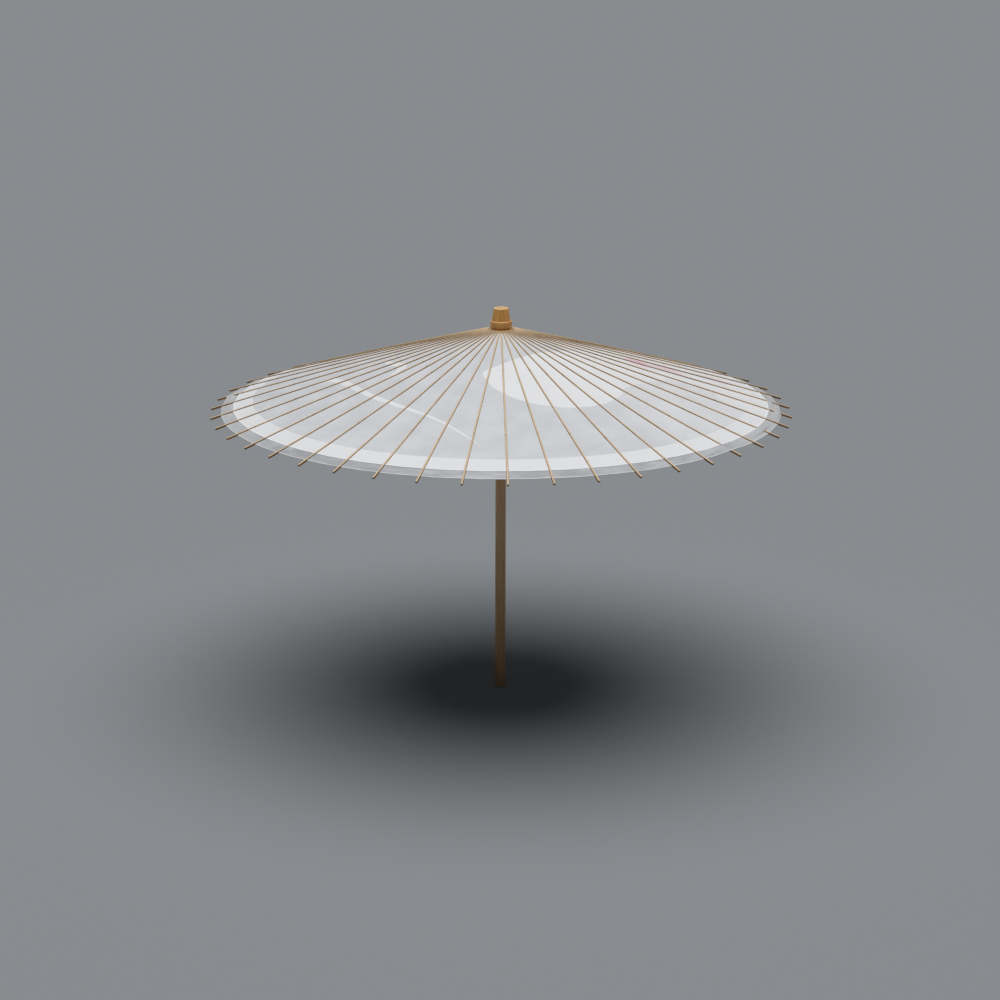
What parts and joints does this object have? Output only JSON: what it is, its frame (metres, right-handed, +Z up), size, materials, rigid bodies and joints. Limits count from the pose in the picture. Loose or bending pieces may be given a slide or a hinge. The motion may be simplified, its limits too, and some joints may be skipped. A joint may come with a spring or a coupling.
{
  "type": "oil paper umbrella",
  "caption": "Open oil paper umbrella: ribbed paper canopy on a wooden pole with a turned head, a sliding runner on stretchers and a sprung latch.",
  "frame": {"origin": "centre of the pole's lower end, where a hand or a stand holds the pole", "axes": "+Z up the pole towards the head, -Y towards the latch's side, rib_01 points just beside -Y"},
  "size_m": [0.8202, 0.8202, 0.561],
  "materials": {
    "pole_wood": "brown fine-grained wood, oiled satin",
    "turned_wood": "honey-coloured turned wood, varnished",
    "bamboo": "tan split bamboo, oiled, light top and dark sides",
    "oiled_paper": "pale grey-white oiled paper, slightly see-through",
    "hem_paper": "thin translucent grey hem paper",
    "thread": "dark waxed cotton thread",
    "hinge_wire": "thin dull steel wire"
  },
  "bodies": {
    "pole": {"pole": "pole_wood", "head": "turned_wood", "canopy": "oiled_paper"},
    "rib_01": {"rib_01": "bamboo"},
    "rib_02": {"rib_02": "bamboo"},
    "rib_03": {"rib_03": "bamboo"},
    "rib_04": {"rib_04": "bamboo"},
    "rib_05": {"rib_05": "bamboo"},
    "rib_06": {"rib_06": "bamboo"},
    "rib_07": {"rib_07": "bamboo"},
    "rib_08": {"rib_08": "bamboo"},
    "rib_09": {"rib_09": "bamboo"},
    "rib_10": {"rib_10": "bamboo"},
    "rib_11": {"rib_11": "bamboo"},
    "rib_12": {"rib_12": "bamboo"},
    "rib_13": {"rib_13": "bamboo"},
    "rib_14": {"rib_14": "bamboo"},
    "rib_15": {"rib_15": "bamboo"},
    "rib_16": {"rib_16": "bamboo"},
    "rib_17": {"rib_17": "bamboo"},
    "rib_18": {"rib_18": "bamboo"},
    "rib_19": {"rib_19": "bamboo"},
    "rib_20": {"rib_20": "bamboo"},
    "rib_21": {"rib_21": "bamboo"},
    "rib_22": {"rib_22": "bamboo"},
    "rib_23": {"rib_23": "bamboo"},
    "rib_24": {"rib_24": "bamboo"},
    "rib_25": {"rib_25": "bamboo"},
    "rib_26": {"rib_26": "bamboo"},
    "rib_27": {"rib_27": "bamboo"},
    "rib_28": {"rib_28": "bamboo"},
    "rib_29": {"rib_29": "bamboo"},
    "rib_30": {"rib_30": "bamboo"},
    "rib_31": {"rib_31": "bamboo"},
    "rib_32": {"rib_32": "bamboo"},
    "rib_33": {"rib_33": "bamboo"},
    "rib_34": {"rib_34": "bamboo"},
    "rib_35": {"rib_35": "bamboo"},
    "rib_36": {"rib_36": "bamboo"},
    "rib_37": {"rib_37": "bamboo"},
    "rib_38": {"rib_38": "bamboo"},
    "rib_39": {"rib_39": "bamboo"},
    "rib_40": {"rib_40": "bamboo"},
    "rib_41": {"rib_41": "bamboo"},
    "rib_42": {"rib_42": "bamboo"},
    "rib_43": {"rib_43": "bamboo"},
    "rib_44": {"rib_44": "bamboo"},
    "stretcher_01": {"stretcher_01": "bamboo"},
    "stretcher_02": {"stretcher_02": "bamboo"},
    "stretcher_03": {"stretcher_03": "bamboo"},
    "stretcher_04": {"stretcher_04": "bamboo"},
    "stretcher_05": {"stretcher_05": "bamboo"},
    "stretcher_06": {"stretcher_06": "bamboo"},
    "stretcher_07": {"stretcher_07": "bamboo"},
    "stretcher_08": {"stretcher_08": "bamboo"},
    "stretcher_09": {"stretcher_09": "bamboo"},
    "stretcher_10": {"stretcher_10": "bamboo"},
    "stretcher_11": {"stretcher_11": "bamboo"},
    "runner": {"runner": "turned_wood"},
    "latch": {"latch": "bamboo"}
  },
  "joints": [
    {"name": "canopy_fold", "type": "hinge", "parent": "pole", "child": "rib_01", "pos_m": [0.0004, -0.018, 0.53], "axis": [0.9998, 0.0223, 0], "range_deg": [0, 72], "deforming": ["canopy", "latch"]},
    {"name": "rib_02_hinge", "type": "hinge", "parent": "pole", "child": "rib_02", "pos_m": [0.00296, -0.01775, 0.53], "axis": [0.9864, 0.1644, 0], "range_deg": [0, 72]},
    {"name": "rib_03_hinge", "type": "hinge", "parent": "pole", "child": "rib_03", "pos_m": [0.00546, -0.01715, 0.53], "axis": [0.953, 0.3031, 0], "range_deg": [0, 72]},
    {"name": "rib_04_hinge", "type": "hinge", "parent": "pole", "child": "rib_04", "pos_m": [0.00784, -0.0162, 0.53], "axis": [0.9001, 0.4356, 0], "range_deg": [0, 72]},
    {"name": "rib_05_hinge", "type": "hinge", "parent": "pole", "child": "rib_05", "pos_m": [0.01007, -0.01492, 0.53], "axis": [0.829, 0.5593, 0], "range_deg": [0, 72]},
    {"name": "rib_06_hinge", "type": "hinge", "parent": "pole", "child": "rib_06", "pos_m": [0.01209, -0.01334, 0.53], "axis": [0.7409, 0.6716, 0], "range_deg": [0, 72]},
    {"name": "rib_07_hinge", "type": "hinge", "parent": "pole", "child": "rib_07", "pos_m": [0.01386, -0.01148, 0.53], "axis": [0.6378, 0.7702, 0], "range_deg": [0, 72]},
    {"name": "rib_08_hinge", "type": "hinge", "parent": "pole", "child": "rib_08", "pos_m": [0.01536, -0.00939, 0.53], "axis": [0.5217, 0.8531, 0], "range_deg": [0, 72]},
    {"name": "rib_09_hinge", "type": "hinge", "parent": "pole", "child": "rib_09", "pos_m": [0.01654, -0.00711, 0.53], "axis": [0.395, 0.9187, 0], "range_deg": [0, 72]},
    {"name": "rib_10_hinge", "type": "hinge", "parent": "pole", "child": "rib_10", "pos_m": [0.01738, -0.00468, 0.53], "axis": [0.2602, 0.9655, 0], "range_deg": [0, 72]},
    {"name": "rib_11_hinge", "type": "hinge", "parent": "pole", "child": "rib_11", "pos_m": [0.01787, -0.00216, 0.53], "axis": [0.1202, 0.9928, 0], "range_deg": [0, 72]},
    {"name": "rib_12_hinge", "type": "hinge", "parent": "pole", "child": "rib_12", "pos_m": [0.018, 0.0004, 0.53], "axis": [-0.0223, 0.9998, 0], "range_deg": [0, 72]},
    {"name": "rib_13_hinge", "type": "hinge", "parent": "pole", "child": "rib_13", "pos_m": [0.01775, 0.00296, 0.53], "axis": [-0.1644, 0.9864, 0], "range_deg": [0, 72]},
    {"name": "rib_14_hinge", "type": "hinge", "parent": "pole", "child": "rib_14", "pos_m": [0.01715, 0.00546, 0.53], "axis": [-0.3031, 0.953, 0], "range_deg": [0, 72]},
    {"name": "rib_15_hinge", "type": "hinge", "parent": "pole", "child": "rib_15", "pos_m": [0.0162, 0.00784, 0.53], "axis": [-0.4356, 0.9001, 0], "range_deg": [0, 72]},
    {"name": "rib_16_hinge", "type": "hinge", "parent": "pole", "child": "rib_16", "pos_m": [0.01492, 0.01007, 0.53], "axis": [-0.5593, 0.829, 0], "range_deg": [0, 72]},
    {"name": "rib_17_hinge", "type": "hinge", "parent": "pole", "child": "rib_17", "pos_m": [0.01334, 0.01209, 0.53], "axis": [-0.6716, 0.7409, 0], "range_deg": [0, 72]},
    {"name": "rib_18_hinge", "type": "hinge", "parent": "pole", "child": "rib_18", "pos_m": [0.01148, 0.01386, 0.53], "axis": [-0.7702, 0.6378, 0], "range_deg": [0, 72]},
    {"name": "rib_19_hinge", "type": "hinge", "parent": "pole", "child": "rib_19", "pos_m": [0.00939, 0.01536, 0.53], "axis": [-0.8531, 0.5217, 0], "range_deg": [0, 72]},
    {"name": "rib_20_hinge", "type": "hinge", "parent": "pole", "child": "rib_20", "pos_m": [0.00711, 0.01654, 0.53], "axis": [-0.9187, 0.395, 0], "range_deg": [0, 72]},
    {"name": "rib_21_hinge", "type": "hinge", "parent": "pole", "child": "rib_21", "pos_m": [0.00468, 0.01738, 0.53], "axis": [-0.9655, 0.2602, 0], "range_deg": [0, 72]},
    {"name": "rib_22_hinge", "type": "hinge", "parent": "pole", "child": "rib_22", "pos_m": [0.00216, 0.01787, 0.53], "axis": [-0.9928, 0.1202, 0], "range_deg": [0, 72]},
    {"name": "rib_23_hinge", "type": "hinge", "parent": "pole", "child": "rib_23", "pos_m": [-0.0004, 0.018, 0.53], "axis": [-0.9998, -0.0223, 0], "range_deg": [0, 72]},
    {"name": "rib_24_hinge", "type": "hinge", "parent": "pole", "child": "rib_24", "pos_m": [-0.00296, 0.01775, 0.53], "axis": [-0.9864, -0.1644, 0], "range_deg": [0, 72]},
    {"name": "rib_25_hinge", "type": "hinge", "parent": "pole", "child": "rib_25", "pos_m": [-0.00546, 0.01715, 0.53], "axis": [-0.953, -0.3031, 0], "range_deg": [0, 72]},
    {"name": "rib_26_hinge", "type": "hinge", "parent": "pole", "child": "rib_26", "pos_m": [-0.00784, 0.0162, 0.53], "axis": [-0.9001, -0.4356, 0], "range_deg": [0, 72]},
    {"name": "rib_27_hinge", "type": "hinge", "parent": "pole", "child": "rib_27", "pos_m": [-0.01007, 0.01492, 0.53], "axis": [-0.829, -0.5593, 0], "range_deg": [0, 72]},
    {"name": "rib_28_hinge", "type": "hinge", "parent": "pole", "child": "rib_28", "pos_m": [-0.01209, 0.01334, 0.53], "axis": [-0.7409, -0.6716, 0], "range_deg": [0, 72]},
    {"name": "rib_29_hinge", "type": "hinge", "parent": "pole", "child": "rib_29", "pos_m": [-0.01386, 0.01148, 0.53], "axis": [-0.6378, -0.7702, 0], "range_deg": [0, 72]},
    {"name": "rib_30_hinge", "type": "hinge", "parent": "pole", "child": "rib_30", "pos_m": [-0.01536, 0.00939, 0.53], "axis": [-0.5217, -0.8531, 0], "range_deg": [0, 72]},
    {"name": "rib_31_hinge", "type": "hinge", "parent": "pole", "child": "rib_31", "pos_m": [-0.01654, 0.00711, 0.53], "axis": [-0.395, -0.9187, 0], "range_deg": [0, 72]},
    {"name": "rib_32_hinge", "type": "hinge", "parent": "pole", "child": "rib_32", "pos_m": [-0.01738, 0.00468, 0.53], "axis": [-0.2602, -0.9655, 0], "range_deg": [0, 72]},
    {"name": "rib_33_hinge", "type": "hinge", "parent": "pole", "child": "rib_33", "pos_m": [-0.01787, 0.00216, 0.53], "axis": [-0.1202, -0.9928, 0], "range_deg": [0, 72]},
    {"name": "rib_34_hinge", "type": "hinge", "parent": "pole", "child": "rib_34", "pos_m": [-0.018, -0.0004, 0.53], "axis": [0.0223, -0.9998, 0], "range_deg": [0, 72]},
    {"name": "rib_35_hinge", "type": "hinge", "parent": "pole", "child": "rib_35", "pos_m": [-0.01775, -0.00296, 0.53], "axis": [0.1644, -0.9864, 0], "range_deg": [0, 72]},
    {"name": "rib_36_hinge", "type": "hinge", "parent": "pole", "child": "rib_36", "pos_m": [-0.01715, -0.00546, 0.53], "axis": [0.3031, -0.953, 0], "range_deg": [0, 72]},
    {"name": "rib_37_hinge", "type": "hinge", "parent": "pole", "child": "rib_37", "pos_m": [-0.0162, -0.00784, 0.53], "axis": [0.4356, -0.9001, 0], "range_deg": [0, 72]},
    {"name": "rib_38_hinge", "type": "hinge", "parent": "pole", "child": "rib_38", "pos_m": [-0.01492, -0.01007, 0.53], "axis": [0.5593, -0.829, 0], "range_deg": [0, 72]},
    {"name": "rib_39_hinge", "type": "hinge", "parent": "pole", "child": "rib_39", "pos_m": [-0.01334, -0.01209, 0.53], "axis": [0.6716, -0.7409, 0], "range_deg": [0, 72]},
    {"name": "rib_40_hinge", "type": "hinge", "parent": "pole", "child": "rib_40", "pos_m": [-0.01148, -0.01386, 0.53], "axis": [0.7702, -0.6378, 0], "range_deg": [0, 72]},
    {"name": "rib_41_hinge", "type": "hinge", "parent": "pole", "child": "rib_41", "pos_m": [-0.00939, -0.01536, 0.53], "axis": [0.8531, -0.5217, 0], "range_deg": [0, 72]},
    {"name": "rib_42_hinge", "type": "hinge", "parent": "pole", "child": "rib_42", "pos_m": [-0.00711, -0.01654, 0.53], "axis": [0.9187, -0.395, 0], "range_deg": [0, 72]},
    {"name": "rib_43_hinge", "type": "hinge", "parent": "pole", "child": "rib_43", "pos_m": [-0.00468, -0.01738, 0.53], "axis": [0.9655, -0.2602, 0], "range_deg": [0, 72]},
    {"name": "rib_44_hinge", "type": "hinge", "parent": "pole", "child": "rib_44", "pos_m": [-0.00216, -0.01787, 0.53], "axis": [0.9928, -0.1202, 0], "range_deg": [0, 72]},
    {"name": "stretcher_01_hinge", "type": "hinge", "parent": "rib_01", "child": "stretcher_01", "pos_m": [0.0047, -0.2102, 0.47487], "axis": [0.9998, 0.0223, 0], "range_deg": [-144, 0]},
    {"name": "stretcher_02_hinge", "type": "hinge", "parent": "rib_05", "child": "stretcher_02", "pos_m": [0.11759, -0.17429, 0.47487], "axis": [0.829, 0.5593, 0], "range_deg": [-144, 0]},
    {"name": "stretcher_03_hinge", "type": "hinge", "parent": "rib_09", "child": "stretcher_03", "pos_m": [0.19316, -0.08305, 0.47487], "axis": [0.395, 0.9187, 0], "range_deg": [-144, 0]},
    {"name": "stretcher_04_hinge", "type": "hinge", "parent": "rib_13", "child": "stretcher_04", "pos_m": [0.20739, 0.03456, 0.47487], "axis": [-0.1644, 0.9864, 0], "range_deg": [-144, 0]},
    {"name": "stretcher_05_hinge", "type": "hinge", "parent": "rib_17", "child": "stretcher_05", "pos_m": [0.15578, 0.1412, 0.47487], "axis": [-0.6716, 0.7409, 0], "range_deg": [-144, 0]},
    {"name": "stretcher_06_hinge", "type": "hinge", "parent": "rib_21", "child": "stretcher_06", "pos_m": [0.05471, 0.20301, 0.47487], "axis": [-0.9655, 0.2602, 0], "range_deg": [-144, 0]},
    {"name": "stretcher_07_hinge", "type": "hinge", "parent": "rib_25", "child": "stretcher_07", "pos_m": [-0.06373, 0.20036, 0.47487], "axis": [-0.953, -0.3031, 0], "range_deg": [-144, 0]},
    {"name": "stretcher_08_hinge", "type": "hinge", "parent": "rib_29", "child": "stretcher_08", "pos_m": [-0.16193, 0.1341, 0.47487], "axis": [-0.6378, -0.7702, 0], "range_deg": [-144, 0]},
    {"name": "stretcher_09_hinge", "type": "hinge", "parent": "rib_33", "child": "stretcher_09", "pos_m": [-0.20873, 0.02527, 0.47487], "axis": [-0.1202, -0.9928, 0], "range_deg": [-144, 0]},
    {"name": "stretcher_10_hinge", "type": "hinge", "parent": "rib_37", "child": "stretcher_10", "pos_m": [-0.18925, -0.09159, 0.47487], "axis": [0.4356, -0.9001, 0], "range_deg": [-144, 0]},
    {"name": "stretcher_11_hinge", "type": "hinge", "parent": "rib_41", "child": "stretcher_11", "pos_m": [-0.10969, -0.17937, 0.47487], "axis": [0.8531, -0.5217, 0], "range_deg": [-144, 0]},
    {"name": "runner_hinge", "type": "hinge", "parent": "stretcher_01", "child": "runner", "pos_m": [0.0004, -0.018, 0.41974], "axis": [0.9998, 0.0223, 0], "range_deg": [0, 72]},
    {"name": "latch_press", "type": "hinge", "parent": "pole", "child": "latch", "pos_m": [0, -0.0055, 0.35154], "axis": [1, 0, 0], "range_deg": [-6.7, 0], "stiffness_Nm_per_rad": 0.05}
  ],
  "couplings": [
    {"joint": "rib_02_hinge", "follows": "canopy_fold", "ratio": 1},
    {"joint": "rib_03_hinge", "follows": "canopy_fold", "ratio": 1},
    {"joint": "rib_04_hinge", "follows": "canopy_fold", "ratio": 1},
    {"joint": "rib_05_hinge", "follows": "canopy_fold", "ratio": 1},
    {"joint": "rib_06_hinge", "follows": "canopy_fold", "ratio": 1},
    {"joint": "rib_07_hinge", "follows": "canopy_fold", "ratio": 1},
    {"joint": "rib_08_hinge", "follows": "canopy_fold", "ratio": 1},
    {"joint": "rib_09_hinge", "follows": "canopy_fold", "ratio": 1},
    {"joint": "rib_10_hinge", "follows": "canopy_fold", "ratio": 1},
    {"joint": "rib_11_hinge", "follows": "canopy_fold", "ratio": 1},
    {"joint": "rib_12_hinge", "follows": "canopy_fold", "ratio": 1},
    {"joint": "rib_13_hinge", "follows": "canopy_fold", "ratio": 1},
    {"joint": "rib_14_hinge", "follows": "canopy_fold", "ratio": 1},
    {"joint": "rib_15_hinge", "follows": "canopy_fold", "ratio": 1},
    {"joint": "rib_16_hinge", "follows": "canopy_fold", "ratio": 1},
    {"joint": "rib_17_hinge", "follows": "canopy_fold", "ratio": 1},
    {"joint": "rib_18_hinge", "follows": "canopy_fold", "ratio": 1},
    {"joint": "rib_19_hinge", "follows": "canopy_fold", "ratio": 1},
    {"joint": "rib_20_hinge", "follows": "canopy_fold", "ratio": 1},
    {"joint": "rib_21_hinge", "follows": "canopy_fold", "ratio": 1},
    {"joint": "rib_22_hinge", "follows": "canopy_fold", "ratio": 1},
    {"joint": "rib_23_hinge", "follows": "canopy_fold", "ratio": 1},
    {"joint": "rib_24_hinge", "follows": "canopy_fold", "ratio": 1},
    {"joint": "rib_25_hinge", "follows": "canopy_fold", "ratio": 1},
    {"joint": "rib_26_hinge", "follows": "canopy_fold", "ratio": 1},
    {"joint": "rib_27_hinge", "follows": "canopy_fold", "ratio": 1},
    {"joint": "rib_28_hinge", "follows": "canopy_fold", "ratio": 1},
    {"joint": "rib_29_hinge", "follows": "canopy_fold", "ratio": 1},
    {"joint": "rib_30_hinge", "follows": "canopy_fold", "ratio": 1},
    {"joint": "rib_31_hinge", "follows": "canopy_fold", "ratio": 1},
    {"joint": "rib_32_hinge", "follows": "canopy_fold", "ratio": 1},
    {"joint": "rib_33_hinge", "follows": "canopy_fold", "ratio": 1},
    {"joint": "rib_34_hinge", "follows": "canopy_fold", "ratio": 1},
    {"joint": "rib_35_hinge", "follows": "canopy_fold", "ratio": 1},
    {"joint": "rib_36_hinge", "follows": "canopy_fold", "ratio": 1},
    {"joint": "rib_37_hinge", "follows": "canopy_fold", "ratio": 1},
    {"joint": "rib_38_hinge", "follows": "canopy_fold", "ratio": 1},
    {"joint": "rib_39_hinge", "follows": "canopy_fold", "ratio": 1},
    {"joint": "rib_40_hinge", "follows": "canopy_fold", "ratio": 1},
    {"joint": "rib_41_hinge", "follows": "canopy_fold", "ratio": 1},
    {"joint": "rib_42_hinge", "follows": "canopy_fold", "ratio": 1},
    {"joint": "rib_43_hinge", "follows": "canopy_fold", "ratio": 1},
    {"joint": "rib_44_hinge", "follows": "canopy_fold", "ratio": 1},
    {"joint": "stretcher_01_hinge", "follows": "canopy_fold", "ratio": -2},
    {"joint": "stretcher_02_hinge", "follows": "canopy_fold", "ratio": -2},
    {"joint": "stretcher_03_hinge", "follows": "canopy_fold", "ratio": -2},
    {"joint": "stretcher_04_hinge", "follows": "canopy_fold", "ratio": -2},
    {"joint": "stretcher_05_hinge", "follows": "canopy_fold", "ratio": -2},
    {"joint": "stretcher_06_hinge", "follows": "canopy_fold", "ratio": -2},
    {"joint": "stretcher_07_hinge", "follows": "canopy_fold", "ratio": -2},
    {"joint": "stretcher_08_hinge", "follows": "canopy_fold", "ratio": -2},
    {"joint": "stretcher_09_hinge", "follows": "canopy_fold", "ratio": -2},
    {"joint": "stretcher_10_hinge", "follows": "canopy_fold", "ratio": -2},
    {"joint": "stretcher_11_hinge", "follows": "canopy_fold", "ratio": -2},
    {"joint": "runner_hinge", "follows": "canopy_fold", "ratio": 1}
  ]
}
